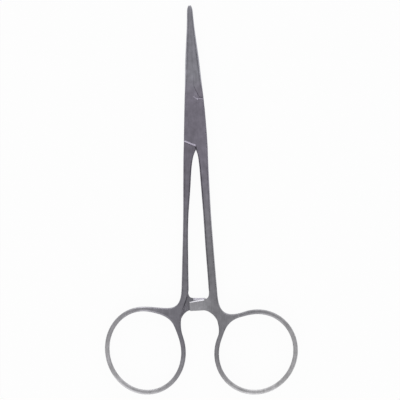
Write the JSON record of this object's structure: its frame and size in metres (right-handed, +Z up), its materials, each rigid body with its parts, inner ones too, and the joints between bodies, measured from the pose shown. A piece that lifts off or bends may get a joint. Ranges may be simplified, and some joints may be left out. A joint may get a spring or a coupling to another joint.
{
  "type": "hemostat forceps",
  "caption": "Straight box-joint hemostat forceps: crossing halves with serrated jaws, ratchet arms and finger rings turn on a flush pivot pin to clamp small vessels.",
  "frame": {"origin": "on the pivot's axis, in the flat underside of the box joint, on which the forceps lie", "axes": "+X across the forceps towards the box half's finger ring, +Y along the closed jaws to their tips, +Z up out of the box joint's upper face along the pivot"},
  "size_m": [0.0617, 0.1254, 0.0042],
  "materials": {
    "box_half_steel": "satin",
    "tongue_half_steel": "satin",
    "pin_steel": "satin"
  },
  "bodies": {
    "box_side": {"box_half": "box_half_steel", "pivot_pin": "pin_steel"},
    "tongue_side": {"tongue_half": "tongue_half_steel"}
  },
  "joints": [
    {"name": "pivot_hinge", "type": "hinge", "parent": "box_side", "child": "tongue_side", "pos_m": [0, 0, 0.0021], "axis": [0, 0, -1], "range_deg": [0, 60]}
  ]
}
